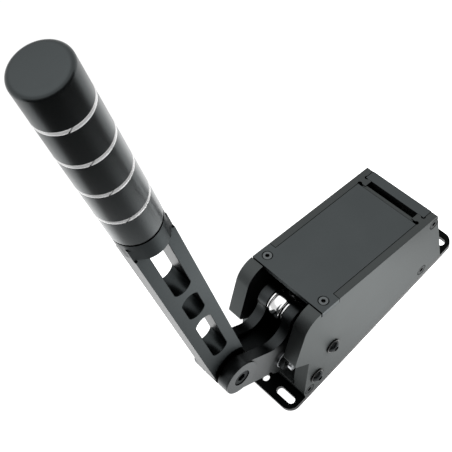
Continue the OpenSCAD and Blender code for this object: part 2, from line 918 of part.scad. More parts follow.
module load_cell() {
    color("#c4c7ca")
        difference() {
            rod_ring(cell_at, cell_t, cell_d, rod_d + rod_room);
            for (q = cell_screw_angles)
                on_rod(cell_at - 1)
                    rotate([0, 0, q])
                        translate([cell_screw_r, 0, 0])
                            cylinder(h = cell_t + 2, d = 3 + 2 * fit);
            // Seat round the rod for the pressure washer
            on_rod(cell_at + cell_t - 1)
                cylinder(h = 2, d = 19);
            // Hole for the lead's end
            translate([lead_start[0], 0, lead_start[1] - cell_t])
                cylinder(h = cell_t + fit, d = lead_d + 2 * fit);
        }
}

module cell_screws() {
    color("#2e3133")
        for (q = cell_screw_angles)
            on_rod(bulkhead_at + bulkhead_t - 6)
                rotate([0, 0, q])
                    translate([cell_screw_r, 0, 0]) {
                        cylinder(h = cell_t + 6, d = 3);
                        translate([0, 0, cell_t + 6])
                            cylinder(h = 1.4, d = 4.6);
                    }
}

module cell_washer() {
    color("#8f9396")
        rod_ring(cell_at + cell_t - 1, pad_washer_t + 1, 18.6, rod_d + rod_room);
}

module elastomer_pads() {
    color("#c7401f")
        for (i = [0 : pad_count - 1])
            rod_ring(pads_at + i * pad_step, pad_t, pad_d, rod_d + rod_room);
}

// A washer between two pads
module pad_washer(i) {
    color("#8f9396")
        rod_ring(pads_at + i * pad_step - pad_washer_t, pad_washer_t, pad_d + 1, rod_d + 4 * running);
}

module front_pad_washer() {
    pad_washer(1);
}

module rear_pad_washer() {
    pad_washer(2);
}

module end_washer() {
    color("#8f9396")
        rod_ring(pads_at + pads_l, end_washer_t, pad_d + 1, rod_d);
}

module end_nut() {
    color("#8f9396")
        on_rod(pads_at + pads_l + end_washer_t)
            difference() {
                cylinder(h = end_nut_t, d = rod_nut_flats / cos(30), $fn = 6);
                translate([0, 0, -1])
                    cylinder(h = end_nut_t + 2, d = rod_d);
            }
}

// A window longer than its end circles, built from two ends and a middle
module window(low, high) {
    translate([-window_w / 2, low + window_rise])
        square([window_w, high - low - 2 * window_rise]);
    intersection() {
        translate([-window_w / 2, low])
            square([window_w, window_rise + 0.01]);
        translate([0, low + window_r])
            circle(r = window_r, $fn = 96);
    }
    intersection() {
        translate([-window_w / 2, high - window_rise - 0.01])
            square([window_w, window_rise + 0.01]);
        translate([0, high - window_r])
            circle(r = window_r, $fn = 96);
    }
}

module lever() {
    x = lever_axis[0];
    color("#333638")
        difference() {
            union() {
                across(-lever_t / 2, lever_t / 2)
                    difference() {
                        union() {
                            translate([x - lever_w / 2, lever_axis[1]])
                                square([lever_w, bar_top_z - lever_axis[1]]);
                            translate(lever_axis)
                                circle(r = lever_w / 2);
                        }
                        for (w = windows)
                            translate([x, 0])
                                window(w[0], w[1]);
                    }
                translate([x, 0, collar_z])
                    cylinder(h = collar_top_z - collar_z, d = collar_d);
            }
            // Pockets that thin the lower end to a tongue
            both_sides()
                across(tongue_t / 2, lever_t / 2 + 1) {
                    translate(arch)
                        circle(r = arch_r);
                    translate([x - lever_w, lever_axis[1] - lever_w])
                        square([2 * lever_w, arch[1] - lever_axis[1] + lever_w]);
                }
            cross_rod(lever_axis, lever_bolt_d / 2 + fit, -lever_t, lever_t);
            // Flats milled across the bar's corners above the windows
            for (q = [45, 135, 225, 315])
                translate([x, 0, collar_z - 2])
                    rotate([0, 0, q])
                        translate([collar_d / 2 - 0.3, -lever_w, 0])
                            cube([lever_w, 2 * lever_w, bar_top_z - collar_z + 2.01]);
            // Threaded hole for the stud
            translate([x, 0, collar_top_z - stud_in_lever])
                cylinder(h = stud_in_lever + 1, d = stud_d);
        }
}

module lever_bolt() {
    color("#3a3d40")
        difference() {
            union() {
                cross_rod(lever_axis, lever_bolt_head_d / 2, boss_out - lever_bolt_head_t, boss_out - 0.6);
                cross_rod(lever_axis, lever_bolt_d / 2, -boss_out + 0.4, boss_out - lever_bolt_head_t + 0.5);
            }
            cross_hex(lever_axis, 6, boss_out - 4, boss_out + 1);
        }
}

module lever_nut() {
    color("#3a3d40")
        difference() {
            cross_hex(lever_axis, lever_nut_flats, -boss_out + 0.6, -boss_out + lever_bolt_head_t);
            cross_rod(lever_axis, lever_bolt_d / 2, -boss_out - 1, -fork_in);
        }
}

module clamp_discs() {
    color("#4a4d50")
        both_sides()
            difference() {
                cross_rod(lever_axis, boss_r - 1.7, tongue_t / 2 + fit, tongue_t / 2 + fit + clamp_disc_t);
                cross_rod(lever_axis, lever_bolt_d / 2 + fit, 0, fork_in + 1);
            }
}

module grip_washer() {
    color("#0c0c0d")
        translate([lever_axis[0], 0, collar_top_z])
            difference() {
                cylinder(h = grip_washer_t, d = collar_d - 1.4);
                translate([0, 0, -1])
                    cylinder(h = grip_washer_t + 2, d = stud_d);
            }
}

module grip_stud() {
    color("#a9acaf")
        translate([lever_axis[0], 0, collar_top_z - stud_in_lever])
            cylinder(h = stud_in_lever + grip_washer_t + stud_in_grip, d = stud_d);
}

// Height of one ring's middle
function ring_z(i) = grip_top_z - (i + 1) * ring_pitch;

module grip() {
    r = grip_d / 2;
    color("#2b2e30")
        translate([lever_axis[0], 0, 0])
            difference() {
                rotate_extrude($fn = 96)
                    polygon(concat(
                        [[0, grip_z], [r - 0.4, grip_z], [r, grip_z + 0.4]],
                        [for (q = [0 : 15 : 90])
                            [r - grip_edge_r + grip_edge_r * cos(q), grip_top_z - grip_edge_r + grip_edge_r * sin(q)]],
                        [[0, grip_top_z]]
                    ));
                for (i = [0 : ring_count - 1])
                    translate([0, 0, ring_z(i) - ring_w / 2])
                        difference() {
                            cylinder(h = ring_w, r = r + 1, $fn = 96);
                            translate([0, 0, -1])
                                cylinder(h = ring_w + 2, r = r - ring_depth, $fn = 96);
                        }
                translate([0, 0, grip_z - 1])
                    cylinder(h = stud_in_grip + 2, d = stud_d);
            }
}

module grip_rings() {
    r = grip_d / 2;
    color("#e6e8ea")
        for (i = [0 : ring_count - 1])
            translate([lever_axis[0], 0, ring_z(i) - ring_w / 2])
                difference() {
                    cylinder(h = ring_w, r = r - ring_gap, $fn = 96);
                    translate([0, 0, -1])
                        cylinder(h = ring_w + 2, r = r - ring_depth, $fn = 96);
                }
}

module side_screws() {
    color("#3c3f41")
        both_sides()
            for (p = [front_bar_screw, rear_bar_screw, rear_top_screw])
                on_side(p)
                    countersunk(screw_d, screw_head_d, plate_t + side_screw_reach);
}

module cover_screws() {
    color("#a8a6a4")
        both_sides()
            on_top()
                translate([cover_screw_s, half_w - plate_t / 2 - 1, 0])
                    countersunk(cover_screw_d, cover_screw_head_d, cover_t + cover_screw_reach);
}

module base_screws() {
    color("#3c3f41")
        both_sides()
            for (x = base_screw_x)
                translate([x, half_w - plate_t / 2, 0])
                    rotate([180, 0, 0])
                        countersunk(screw_d, screw_head_d, base_t + base_screw_reach);
}

module circuit_board() {
    color("#14532d")
        difference() {
            translate([rear_bar_screw[0] - 12, -board_w / 2, board_z])
                cube([board_l, board_w, board_t]);
            for (x = pillar_x, y = [-1, 1])
                translate([x, y * pillar_y, board_z - 1])
                    cylinder(h = board_t + 2, d = board_screw_d + 2 * fit);
        }
}

// Pillars under the board: tall ones on the base plate, low ones on the rear bar
module board_pillars() {
    color("#b08d3c")
        for (i = [0, 1], y = [-1, 1])
            translate([pillar_x[i], y * pillar_y, pillar_foot[i]])
                difference() {
                    cylinder(h = board_z - pillar_foot[i], d = 5.5);
                    translate([0, 0, -1])
                        cylinder(h = board_z, d = board_screw_d);
                }
}

// Screws from above through the board, and from below through the base plate
module board_screws() {
    color("#c8cbcd")
        for (y = [-1, 1]) {
            for (i = [0, 1])
                translate([pillar_x[i], y * pillar_y, board_z + board_t]) {
                    translate([0, 0, i == 0 ? -11 : -6])
                        cylinder(h = i == 0 ? 11 : 6, d = board_screw_d);
                    cylinder(h = 1.6, d = 5);
                }
            translate([pillar_x[1], y * pillar_y, 0])
                rotate([180, 0, 0])
                    countersunk(board_screw_d, 5, base_t + 5);
        }
}

module board_plug() {
    color("#e9e7df")
        translate([plug_x - 4, -4, board_z + board_t])
            cube([8, 8, 7]);
}

module cable_socket() {
    color("#b9bcbf")
        difference() {
            translate([box_rear_x + 0.4, -socket[0] / 2, board_z + board_t])
                cube([socket[1], socket[0], socket[2]]);
            translate([box_rear_x - 1, -socket[0] / 2 + 1.5, board_z + board_t + 1.5])
                cube([10, socket[0] - 3, socket[2] - 3]);
        }
}

// Top end of the load cell's lead, in the cell's wall
lead_start = rod_pt(cell_at + cell_t / 2, lead_in_cell - cell_d / 2);

// The load cell's lead: down from the cell, round a bend and back to the plug
module cell_lead() {
    level = board_z + board_t + 3.5;
    color("#1a1a1a") {
        translate([lead_start[0], 0, level + lead_bend_r])
            cylinder(h = lead_start[1] - level - lead_bend_r, d = lead_d);
        translate([lead_start[0] - lead_bend_r, 0, level + lead_bend_r])
            rotate([90, 0, 0])
                rotate([0, 0, -90])
                    rotate_extrude(angle = 90)
                        translate([lead_bend_r, 0])
                            circle(d = lead_d);
        translate([plug_x + 4, 0, level])
            rotate([0, 90, 0])
                cylinder(h = lead_start[0] - lead_bend_r - plug_x - 4, d = lead_d);
    }
}

base_plate();
left_side_plate();
right_side_plate();
top_cover();
rear_cover();
cover_rest_bar();
front_cross_bar();
rear_cross_bar();
bulkhead();
crank();
pivot_shaft();
pivot_bearings();
pivot_spacers();
button_bolts();
bolt_washers();
stop_bar();
stop_sleeves();
lug_bolt();
lug_nut();
lug_washers();
rod_end_bolt();
rod_end_ball();
rod_end_spools();
rod_end();
pull_rod();
rod_lock_nut();
rod_collar();
load_cell();
cell_screws();
cell_washer();
elastomer_pads();
front_pad_washer();
rear_pad_washer();
end_washer();
end_nut();
lever();
lever_bolt();
lever_nut();
clamp_discs();
grip_washer();
grip_stud();
grip();
grip_rings();
side_screws();
cover_screws();
base_screws();
circuit_board();
board_pillars();
board_screws();
board_plug();
cable_socket();
cell_lead();
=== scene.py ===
"""The looks of a sim racing handbrake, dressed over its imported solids.

A wedge-shaped box of black anodised plates on a slotted base plate, a forked crank in the
box's open nose, and an upright lever with a round, ringed grip. Lengths are in metres.
"""

import json
import math

import bmesh
import bpy
from mathutils import Matrix, Vector


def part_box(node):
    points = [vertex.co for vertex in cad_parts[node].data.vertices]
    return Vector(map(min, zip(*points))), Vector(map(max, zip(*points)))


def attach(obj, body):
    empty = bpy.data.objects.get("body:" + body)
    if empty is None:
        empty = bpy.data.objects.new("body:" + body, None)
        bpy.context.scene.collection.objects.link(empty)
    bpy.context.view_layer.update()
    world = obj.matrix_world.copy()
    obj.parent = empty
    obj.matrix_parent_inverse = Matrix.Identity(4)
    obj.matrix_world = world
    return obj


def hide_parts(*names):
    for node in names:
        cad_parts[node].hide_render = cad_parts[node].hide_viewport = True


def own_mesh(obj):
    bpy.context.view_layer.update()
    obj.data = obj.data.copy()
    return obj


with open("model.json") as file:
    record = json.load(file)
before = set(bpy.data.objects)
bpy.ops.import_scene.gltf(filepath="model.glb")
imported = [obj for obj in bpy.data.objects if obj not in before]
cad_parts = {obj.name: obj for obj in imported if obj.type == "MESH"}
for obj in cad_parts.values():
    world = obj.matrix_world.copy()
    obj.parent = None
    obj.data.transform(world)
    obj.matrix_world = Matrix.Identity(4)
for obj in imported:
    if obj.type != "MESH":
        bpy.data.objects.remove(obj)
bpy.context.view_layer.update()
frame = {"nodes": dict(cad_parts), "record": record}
nodes = frame["nodes"]
MM = 0.001


# Camera: the place, aim and roll that put the part as the photograph shows it
IMAGE_SIDE = 452
FOCAL_PIXELS = 918.4
SENSOR_WIDTH = 36.0
CAMERA_PLACE = Vector((175.96, 264.24, 687.49)) * MM
CAMERA_AIM = Vector((65.67, 0.0, 222.54)) * MM
CAMERA_ROLL = math.radians(24.83)


def make_camera():
    data = bpy.data.cameras.new("camera")
    data.sensor_width = SENSOR_WIDTH
    data.lens = FOCAL_PIXELS / IMAGE_SIDE * SENSOR_WIDTH
    data.clip_start = 0.01
    camera = bpy.data.objects.new("camera", data)
    bpy.context.scene.collection.objects.link(camera)
    look = (CAMERA_AIM - CAMERA_PLACE).normalized()
    level_right = look.cross(Vector((0, 0, 1))).normalized()
    level_up = level_right.cross(look)
    up = level_up * math.cos(CAMERA_ROLL) + level_right * math.sin(CAMERA_ROLL)
    right = look.cross(up)
    turn = Matrix((right, up, -look)).transposed()
    camera.matrix_world = Matrix.Translation(CAMERA_PLACE) @ turn.to_4x4()
    bpy.context.scene.camera = camera


def linear(code, alpha=1.0):
    """The linear colour of an sRGB hex code such as #1c1d1e."""
    channels = [int(code[i : i + 2], 16) / 255 for i in (1, 3, 5)]
    return tuple(
        c / 12.92 if c <= 0.04045 else ((c + 0.055) / 1.055) ** 2.4 for c in channels
    ) + (alpha,)


def add_node(tree, kind, settings=None, **inputs):
    """Adds a node. Settings go to the node, inputs to its sockets: a value, or a socket to link."""
    node = tree.nodes.new("ShaderNode" + kind)
    for key, value in (settings or {}).items():
        setattr(node, key, value)
    for key, value in inputs.items():
        socket = node.inputs[key.replace("_", " ")]
        if isinstance(value, bpy.types.NodeSocket):
            tree.links.new(value, socket)
        else:
            socket.default_value = value
    return node


def new_material(name):
    """A material with an empty tree, its output and its Object coordinates."""
    material = bpy.data.materials.new(name)
    material.use_nodes = True
    tree = material.node_tree
    tree.nodes.clear()
    place = add_node(tree, "TexCoord").outputs["Object"]
    return material, tree, place


def finish_material(material, tree, shader):
    output = add_node(tree, "OutputMaterial")
    tree.links.new(shader.outputs[0], output.inputs["Surface"])
    return material


# How far a grain moves the roughness either way, and how deep its dents are
METAL_SPREAD = 0.06
GROOVE_SPREAD = 0.05
DENT_DEPTH = 0.02 * MM
CREVICE_RAYS = 8


def metal(
    name, dark, light, roughness, grain, bump=0.1, metallic=1.0, cloud=40, rim="#ffffff", painted_shade_reach=2
):
    """A metal surface: two close tones in wide clouds, and a grain that breaks up its gloss.

    grain, cloud and the painted shade's reach are in millimetres. That reach is the width of the
    corners and gaps whose colour is darkened with painted shade, and rim is its tint at a flat
    angle.
    """
    material, tree, place = new_material(name)
    clouds = add_node(tree, "TexNoise", Vector=place, Scale=1 / (cloud * MM), Detail=3.0)
    grit = add_node(tree, "TexNoise", Vector=place, Scale=1 / (grain * MM), Detail=2.0)
    tint = add_node(tree, "Mix", {"data_type": "RGBA"})
    tree.links.new(clouds.outputs[0], tint.inputs["Factor"])
    tint.inputs[6].default_value = linear(dark)
    tint.inputs[7].default_value = linear(light)
    gloss = add_node(
        tree,
        "MapRange",
        Value=grit.outputs[0],
        To_Min=roughness - METAL_SPREAD,
        To_Max=roughness + METAL_SPREAD,
    )
    dents = add_node(tree, "Bump", Height=grit.outputs[0], Strength=bump, Distance=DENT_DEPTH)
    # Painted shade: the colour is darkened where other faces lie within the reach, in corners and
    # gaps
    openness = add_node(
        tree,
        "AmbientOcclusion",
        {"samples": CREVICE_RAYS},
        Color=tint.outputs[2],
        Distance=painted_shade_reach * MM,
    )
    # The painted shade is applied twice: open faces keep their tone, deep corners go black
    painted_corner_shade = add_node(tree, "Mix", {"data_type": "RGBA", "blend_type": "MULTIPLY"})
    painted_corner_shade.inputs["Factor"].default_value = 1.0
    tree.links.new(openness.outputs["Color"], painted_corner_shade.inputs[6])
    tree.links.new(openness.outputs["AO"], painted_corner_shade.inputs[7])
    shader = add_node(
        tree,
        "BsdfPrincipled",
        Base_Color=painted_corner_shade.outputs[2],
        Metallic=metallic,
        Roughness=gloss.outputs[0],
        Normal=dents.outputs[0],
        Specular_Tint=linear(rim),
    )
    return finish_material(material, tree, shader)


def turned(name, dark, light, roughness, pitch, stretch, turn=(0.0, 0.0, 0.0), metallic=1.0):
    """Turned metal: grooves, pitch millimetres apart, round the axis that turn brings to Z."""
    material, tree, place = new_material(name)
    aim = add_node(tree, "Mapping", Vector=place)
    aim.inputs["Rotation"].default_value = turn
    aim.inputs["Scale"].default_value = (1, 1, stretch)
    lines = add_node(tree, "TexNoise", Vector=aim.outputs[0], Scale=1 / (pitch * MM), Detail=2.0)
    tint = add_node(tree, "Mix", {"data_type": "RGBA"})
    tree.links.new(lines.outputs[0], tint.inputs["Factor"])
    tint.inputs[6].default_value = linear(dark)
    tint.inputs[7].default_value = linear(light)
    gloss = add_node(
        tree,
        "MapRange",
        Value=lines.outputs[0],
        To_Min=roughness - GROOVE_SPREAD,
        To_Max=roughness + GROOVE_SPREAD,
    )
    shader = add_node(
        tree,
        "BsdfPrincipled",
        Base_Color=tint.outputs[2],
        Metallic=metallic,
        Roughness=gloss.outputs[0],
    )
    return finish_material(material, tree, shader)


def moulded(name, dark, light, roughness, grain, bump=0.2):
    """Plastic, rubber or lacquer: two close tones, soft gloss and a fine grain."""
    return metal(name, dark, light, roughness, grain, bump, metallic=0.0, cloud=12)


ALONG_Y = (math.radians(90), 0.0, 0.0)

# Blasted, milled and moulded faces have a grain of 0.05 to 0.1 mm, and turned ones grooves 0.1 mm
# apart. Both are too fine for the picture, so they are drawn two to five times as coarse.
# The reach set on a look is how far, in millimetres, painted shade darkens its colour in corners
# and gaps
SLOT_LOOKS = {
    # Hard anodised sheet, the darkest of the blacks: it gives back little but the brightest light
    # Its painted shade reaches 25 mm, darkening it near the box's walls
    "base_black": metal("hard_anodised_sheet", "#0e0f0f", "#131414", 0.42, 0.4, painted_shade_reach=25),
    # Blasted and anodised plate: a smooth charcoal sheen that follows the light over each face
    "plate_black": metal(
        "blasted_black_anodising", "#434646", "#4a4d4d", 0.4, 0.35, rim="#c8c8c8", painted_shade_reach=5
    ),
    # The same anodising, a shade deeper, on the covers
    "cover_black": metal(
        "satin_black_anodising", "#464a4b", "#4e5253", 0.42, 0.35, rim="#c8c8c8", painted_shade_reach=3
    ),
    # Milled and anodised crank: slightly glossier, so its round bosses carry a gradient
    # Its painted shade reaches 30 mm, darkening the fork's inside nearly black
    "crank_black": metal("milled_black_anodising", "#3c3f40", "#444748", 0.34, 0.35, painted_shade_reach=30),
    # Milled lever: its edge strips flare white at a flat angle
    "lever_black": metal(
        "lever_black_anodising", "#363a3b", "#3d4142", 0.32, 0.35, rim="#cccccc", painted_shade_reach=8
    ),
    # Turned grip, soft to the eye, with a dark core and paler flanks
    "grip_black": metal("grip_black_anodising", "#434748", "#4a4e4f", 0.3, 0.3),
    # Bare turned rings: their fine grooves scatter most of the light, so they look nearly white
    "ring_silver": turned(
        "bright_turned_aluminium", "#f7f7f7", "#ffffff", 0.35, 0.3, 12, metallic=0.3
    ),
    # Plated and polished: near white with crisp dark reflections
    "chrome": turned("polished_chrome", "#e4e4e4", "#f6f6f6", 0.1, 0.3, 8, ALONG_Y),
    # Zinc plated turned parts inside the box
    "steel": turned("zinc_plated_steel", "#b9bcbf", "#cfd1d3", 0.3, 0.3, 8, ALONG_Y),
    # Ground stainless steel of the load cell and socket shell
    "cell_steel": metal("ground_stainless_steel", "#c4c7ca", "#d3d5d7", 0.28, 0.2),
    # Black oxide on screws: dark, with a thin oily shine
    "screw_black": metal(
        "black_oxide_steel", "#282a2b", "#303233", 0.36, 0.25, rim="#cccccc", painted_shade_reach=3
    ),
    # Phosphated steel of the cover's screws, a shade paler than the side's
    "screw_grey": metal("phosphated_steel", "#5c6061", "#66696a", 0.34, 0.25, painted_shade_reach=3),
    # Nylon washers under the button heads: dull and almost black
    "washer_black": moulded("black_nylon", "#0b0c0c", "#101111", 0.55, 0.3),
    # Rubber sleeves and the grip's seat washer
    "rubber_black": moulded("black_rubber", "#0d0d0e", "#131314", 0.7, 0.3, 0.4),
    # Cast polyurethane of the pressure pads
    "elastomer_red": moulded("cast_polyurethane", "#a8301a", "#c7401f", 0.45, 1.5, 0.1),
    # Oil-filled sintered bronze of the bearings
    "bearing_bronze": metal("sintered_bronze", "#9a7434", "#b88f46", 0.42, 0.2, 0.3),
    # Green lacquer over glass cloth, whose weave of 0.5 mm is drawn at 0.8 mm
    "board_green": moulded("solder_mask", "#0f4526", "#1a5d35", 0.35, 0.8),
    # Brass pillars under the board: warm and evenly bright
    "pillar_brass": metal("turned_brass", "#b0893b", "#c8a350", 0.3, 0.2),
    # The board's plug, a slightly yellow nylon
    "plug_white": moulded("moulded_nylon", "#d8d5ca", "#e9e7df", 0.45, 0.5),
    # Vinyl jacket of the load cell's lead
    "lead_black": moulded("cable_jacket", "#121212", "#1a1a1a", 0.5, 0.5),
}

body_of = {
    node: body
    for body, members in frame["record"]["behaviour"]["bodies"].items()
    for node in members
}
slot_of = {entry["node"]: entry["material_slot"] for entry in frame["record"]["subparts"]}


def dress_nodes():
    """Every CAD node takes the look of its material slot in the record."""
    for name, slot in slot_of.items():
        mesh = nodes[name].data
        mesh.materials.clear()
        mesh.materials.append(SLOT_LOOKS[slot])


def add_piece(name, bm, node, stands_for=()):
    """Makes a bmesh a piece that rides with a CAD node's body and takes its finish."""
    mesh = bpy.data.meshes.new(name)
    for face in bm.faces:
        face.smooth = True
    bm.to_mesh(mesh)
    bm.free()
    mesh.materials.append(SLOT_LOOKS[slot_of[node]])
    piece = bpy.data.objects.new(name, mesh)
    bpy.context.scene.collection.objects.link(piece)
    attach(piece, body_of[node])
    if stands_for:
        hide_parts(*stands_for)
    return piece


# Points that meet at an axis or a seam are merged
MERGE_WITHIN = 0.0005 * MM


def lathe(bm, outline, place, closed=True, steps=96, start=0.0, sweep=360.0, slant=0.0):
    """Spins an outline of (radius, height) points round the Z axis of place.

    A closed outline's sweep short of a full turn leaves a gap with flat ends, which slant leans
    over by an angle in degrees for each metre of height.
    """
    before = set(bm.verts)
    full = sweep == 360.0
    to_start = Matrix.Rotation(math.radians(start), 3, "Z")
    points = [bm.verts.new(to_start @ Vector((radius, 0, height))) for radius, height in outline]
    following = points[1:] + points[:1] if closed else points[1:]
    edges = [bm.edges.new(pair) for pair in zip(points, following)]
    spun = bmesh.ops.spin(
        bm,
        geom=points + edges,
        cent=(0, 0, 0),
        axis=(0, 0, 1),
        angle=math.radians(sweep),
        steps=steps,
        use_merge=full,
    )
    if closed and not full:
        last = [part for part in spun["geom_last"] if isinstance(part, bmesh.types.BMEdge)]
        for end in (edges, last):
            bmesh.ops.contextual_create(bm, geom=end)
    made = [vert for vert in bm.verts if vert not in before]
    for vert in made:
        vert.co.rotate(Matrix.Rotation(math.radians(slant * vert.co.z), 3, "Z"))
    bmesh.ops.transform(bm, matrix=place, verts=made)
    bmesh.ops.remove_doubles(bm, verts=bm.verts, dist=MERGE_WITHIN)
    bmesh.ops.recalc_face_normals(bm, faces=bm.faces)


def arc(centre, radius, begin, end, steps):
    """Points of an arc in an outline, with its angles in degrees."""
    turns = [math.radians(begin + (end - begin) * k / steps) for k in range(steps + 1)]
    return [(centre[0] + radius * math.cos(a), centre[1] + radius * math.sin(a)) for a in turns]


# Corners sharper than these angles in degrees aren't shaded smooth
TURNED_CORNER = 35
MILLED_CORNER = 30
SCREW_CORNER = 25
RING_CORNER = 50
CAST_CORNER = 60


def keep_corners(bm, angle):
    """Marks the sharp corners, so that smooth shading stops there."""
    for edge in bm.edges:
        if edge.is_manifold and edge.calc_face_angle() > math.radians(angle):
            edge.smooth = False


def even_shading(piece):
    """Keeps flat faces flat to the eye, so that only the rounded edges blend."""
    shade = piece.modifiers.new("face_shading", "WEIGHTED_NORMAL")
    shade.mode = "FACE_AREA"
    shade.weight = 100
    shade.keep_sharp = True


# Edges sharper than this are broken, with two facets
EDGE_ANGLE = math.radians(28)
EDGE_SEGMENTS = 2


def round_edges(piece, width):
    """The small radius that every machined edge has, and that catches a line of light."""
    bevel = piece.modifiers.new("edge_radius", "BEVEL")
    bevel.width = width * MM
    bevel.segments = EDGE_SEGMENTS
    bevel.limit_method = "ANGLE"
    bevel.angle_limit = EDGE_ANGLE
    bevel.use_clamp_overlap = True
    even_shading(piece)


WELD_WITHIN = 0.001 * MM
FLAT_WITHIN = math.radians(0.4)


def merged_copy(node):
    """A CAD node's mesh with its loose triangles joined and its flat faces made whole."""
    bm = bmesh.new()
    bm.from_mesh(nodes[node].data)
    bmesh.ops.remove_doubles(bm, verts=bm.verts, dist=WELD_WITHIN)
    bmesh.ops.dissolve_limit(bm, angle_limit=FLAT_WITHIN, verts=bm.verts, edges=bm.edges)
    return bm


# Width of the broken edge on each machined piece, in millimetres
EDGE_RADII = {
    "base_plate": 0.5,
    "left_side_plate": 0.45,
    "right_side_plate": 0.45,
    "top_cover": 0.2,
    "rear_cover": 0.2,
    "cover_rest_bar": 0.2,
    "front_cross_bar": 0.3,
    "rear_cross_bar": 0.3,
    "bulkhead": 0.3,
    "crank": 0.5,
    "clamp_discs": 0.3,
    "lug_bolt": 0.3,
    "lug_nut": 0.3,
    "lug_washers": 0.2,
    "button_bolts": 0.2,
    "bolt_washers": 0.25,
    "lever_bolt": 0.3,
    "lever_nut": 0.3,
    "rod_end": 0.6,
    "rod_end_spools": 0.3,
    "rod_lock_nut": 0.4,
    "rod_collar": 0.3,
    "end_nut": 0.4,
    "end_washer": 0.3,
    "load_cell": 0.4,
    "cable_socket": 0.25,
    "board_plug": 0.4,
    "stop_sleeves": 0.3,
    "stop_bar": 0.3,
}

# The cover and the rod slope at the same angle. The cover's wide head lies at its front, and its
# rear part lies between the side plates' ledges.
SLOPE = math.radians(14.5)
ALONG_TOP = Vector((math.cos(SLOPE), 0, math.sin(SLOPE)))
TOP_NORMAL = Vector((-math.sin(SLOPE), 0, math.cos(SLOPE)))
COVER_FRONT = Vector((42, 0, 101.6)) * MM
COVER_HEAD = 17.6 * MM
LEDGE_Y = 29 * MM
SEAM = 0.3 * MM
SEAM_NEAR = 0.25 * MM


def widen_seams(bm):
    """Draws a cover's sides back from the side plates' ledges, so that its seam shows dark."""
    for vert in bm.verts:
        behind = (COVER_FRONT - vert.co).dot(ALONG_TOP)
        beside = abs(vert.co.y) - LEDGE_Y
        if abs(beside) < SEAM_NEAR and behind > COVER_HEAD - SEAM_NEAR:
            vert.co.y -= math.copysign(SEAM, vert.co.y)
        if beside > -SEAM_NEAR and abs(behind - COVER_HEAD) < SEAM_NEAR:
            vert.co += ALONG_TOP * SEAM


def finish_edges():
    """Replaces the machined pieces with copies whose edges are broken."""
    for node, width in EDGE_RADII.items():
        bm = merged_copy(node)
        if node in ("top_cover", "rear_cover"):
            widen_seams(bm)
        piece = add_piece(node + "_rounded", bm, node, [node])
        round_edges(piece, width)


GRIP_EDGE = 3.4 * MM
GRIP_EDGE_STEPS = 10
GRIP_CHAMFER = 0.7 * MM
GRIP_STEPS = 144
STUD_ROOM = 0.05 * MM
RING_COUNT = 4
RING_WIDTH = 2.8 * MM
RING_DEPTH = 1.2 * MM
RING_BULGE = 0.2 * MM
RING_SHOULDER = 0.1 * MM
RING_CROWN_AT = (-0.8, -0.4, 0, 0.4, 0.8)
RING_STEPS = 140
# The rings' gap: where it is, how wide, and its lean for each metre of height, in degrees
RING_GAP_AT = 66.0
RING_GAP = 5.0
RING_GAP_SLANT = 4000.0


def grip_measures():
    """The grip's axis, radius, ends and ring heights, read off the CAD nodes."""
    low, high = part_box("grip")
    ring_low, ring_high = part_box("grip_rings")
    axis = Matrix.Translation(((low[0] + high[0]) / 2, 0, 0))
    pitch = (2 * high[2] - ring_high[2] - ring_low[2]) / (RING_COUNT + 1)
    heights = [high[2] - (i + 1) * pitch for i in range(RING_COUNT)]
    return axis, (high[0] - low[0]) / 2, low[2], high[2], heights


def make_grip():
    """The turned grip: a generous round to its top, and a groove for each ring."""
    axis, radius, bottom, top, heights = grip_measures()
    stud_low, stud_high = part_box("grip_stud")
    bore = (stud_high[0] - stud_low[0]) / 2 + STUD_ROOM
    outline = [(0, top)]
    edge_centre = (radius - GRIP_EDGE, top - GRIP_EDGE)
    outline += arc(edge_centre, GRIP_EDGE, 90, 0, GRIP_EDGE_STEPS)
    for height in heights:
        outline += [
            (radius, height + RING_WIDTH / 2),
            (radius - RING_DEPTH, height + RING_WIDTH / 2),
            (radius - RING_DEPTH, height - RING_WIDTH / 2),
            (radius, height - RING_WIDTH / 2),
        ]
    outline += [
        (radius, bottom + GRIP_CHAMFER),
        (radius - GRIP_CHAMFER, bottom),
        (bore, bottom),
        (bore, stud_high[2]),
        (0, stud_high[2]),
    ]
    bm = bmesh.new()
    lathe(bm, outline, axis, closed=False, steps=GRIP_STEPS)
    keep_corners(bm, TURNED_CORNER)
    add_piece("grip_turned", bm, "grip", ["grip"])


def make_grip_rings():
    """Split spring rings: crowned, bright, each with a slanted gap on the side of the hand."""
    axis, radius, bottom, top, heights = grip_measures()
    half = RING_WIDTH / 2
    foot = radius - RING_DEPTH
    shoulder = radius - RING_SHOULDER
    crown = [(radius + RING_BULGE * (1 - k * k), half * k) for k in RING_CROWN_AT]
    outline = [(foot, -half), (shoulder, -half)] + crown + [(shoulder, half), (foot, half)]
    bm = bmesh.new()
    for height in heights:
        lathe(
            bm,
            outline,
            axis @ Matrix.Translation((0, 0, height)),
            steps=RING_STEPS,
            start=RING_GAP_AT + RING_GAP / 2,
            sweep=360.0 - RING_GAP,
            slant=RING_GAP_SLANT,
        )
    keep_corners(bm, RING_CORNER)
    add_piece("grip_rings_crowned", bm, "grip_rings", ["grip_rings"])


# The lever's broken edges, its windows' chamfer, and the box that holds the windows' edges
LEVER_EDGE = 0.5 * MM
WINDOW_CHAMFER = 2.1 * MM
WINDOW_HALF = 7.5 * MM
WINDOWS_FROM = 115 * MM
WINDOWS_TO = 277 * MM
BAR_HALF = 8.5 * MM
FACE_WITHIN = 0.01 * MM


